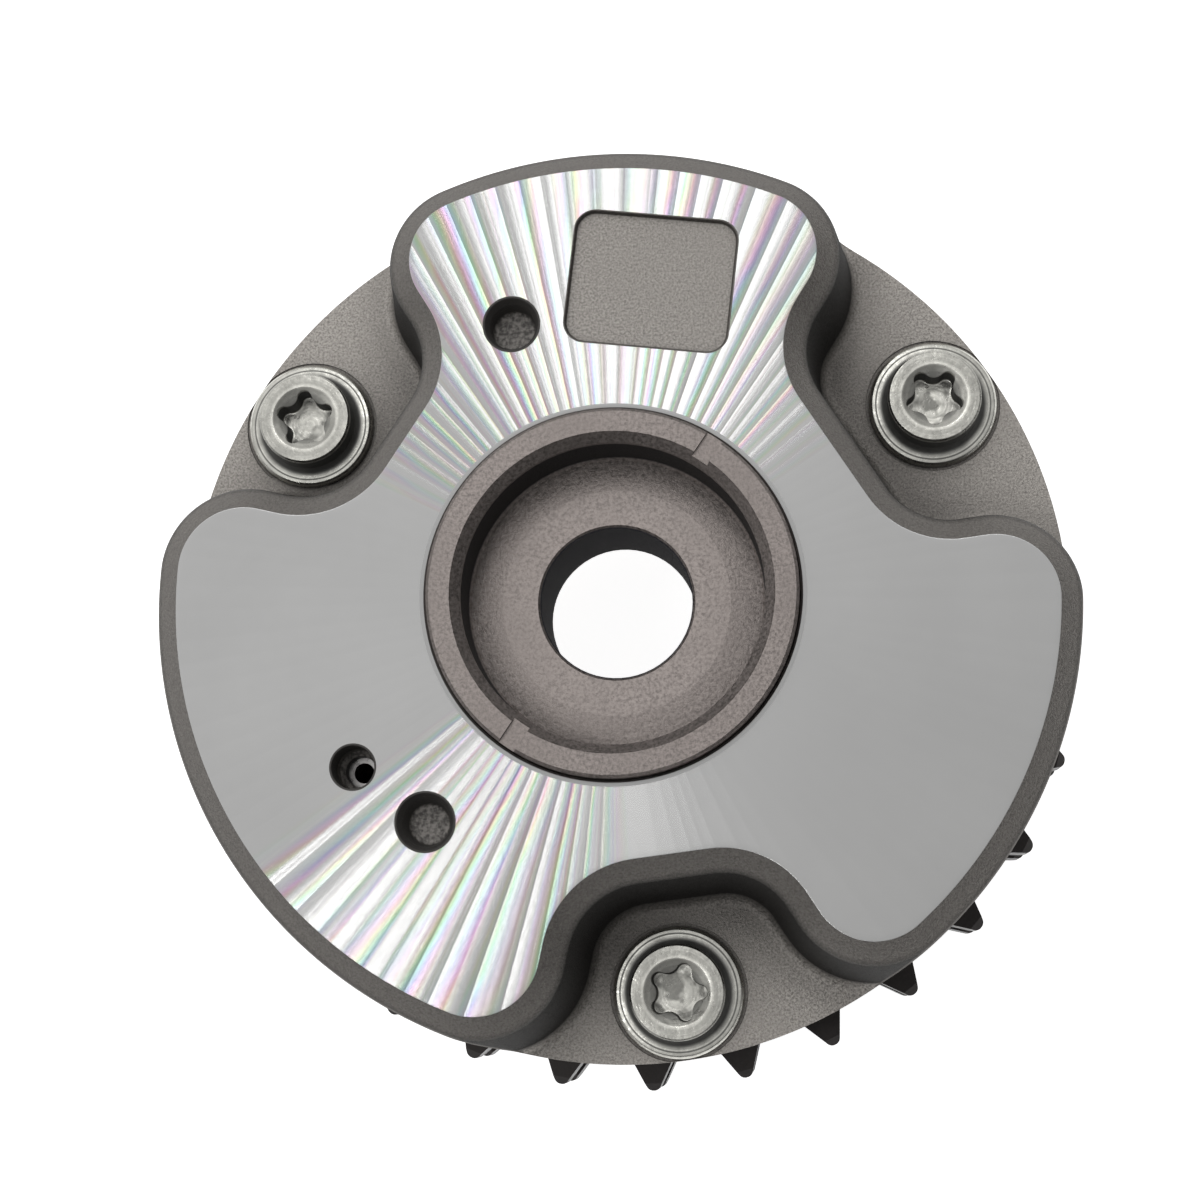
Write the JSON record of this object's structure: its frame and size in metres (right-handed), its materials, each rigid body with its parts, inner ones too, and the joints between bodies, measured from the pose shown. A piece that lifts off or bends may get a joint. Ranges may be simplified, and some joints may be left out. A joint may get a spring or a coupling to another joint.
{
  "type": "camshaft phaser",
  "caption": "Camshaft phaser: cast housing with a turned front face and deep screw recesses round a sprung-seal vane rotor, bolted to a duplex chain sprocket plate.",
  "frame": {"origin": "on the camshaft axis, at the rear boss of the sprocket plate, which is the bottom of the part", "axes": "+Z along the camshaft axis, out of the turned front face where the central bolt goes in; angles in the names of the source count from +X towards +Y"},
  "size_m": [0.096, 0.096, 0.0517],
  "materials": {
    "housing_casting": "cast, with a finely turned front face",
    "sprocket_steel": "dark, hardened and oiled",
    "sintered_rotor": "sintered, ground on the working faces",
    "hard_steel": "ground",
    "spring_steel": "bright spring wire and strip",
    "screw_steel": "satin plated",
    "seal_plastic": "matt"
  },
  "bodies": {
    "stator": {"housing": "housing_casting", "sprocket_plate": "sprocket_steel", "screw_1": "screw_steel", "screw_2": "screw_steel", "screw_3": "screw_steel", "locating_dowel": "hard_steel", "lock_bush": "hard_steel", "web_seal_1": "seal_plastic", "web_seal_2": "seal_plastic", "web_seal_3": "seal_plastic", "web_spring_1": "spring_steel", "web_spring_2": "spring_steel", "web_spring_3": "spring_steel"},
    "rotor": {"rotor": "sintered_rotor", "vane_seal_1": "seal_plastic", "vane_seal_2": "seal_plastic", "vane_seal_3": "seal_plastic", "vane_spring_1": "spring_steel", "vane_spring_2": "spring_steel", "vane_spring_3": "spring_steel", "lock_cap": "hard_steel", "lock_spring": "spring_steel"},
    "lock_pin": {"lock_pin": "hard_steel"}
  },
  "joints": [
    {"name": "phase", "type": "hinge", "parent": "stator", "child": "rotor", "pos_m": [0, 0, 0.0315], "axis": [0, 0, 1], "range_deg": [-6, 24]},
    {"name": "lock_pin_slide", "type": "slide", "parent": "rotor", "child": "lock_pin", "axis": [0, 0, 1], "range_m": [0, 0.0024], "stiffness_N_per_m": 400, "springref_m": -0.006, "deforming": ["lock_spring"]}
  ]
}
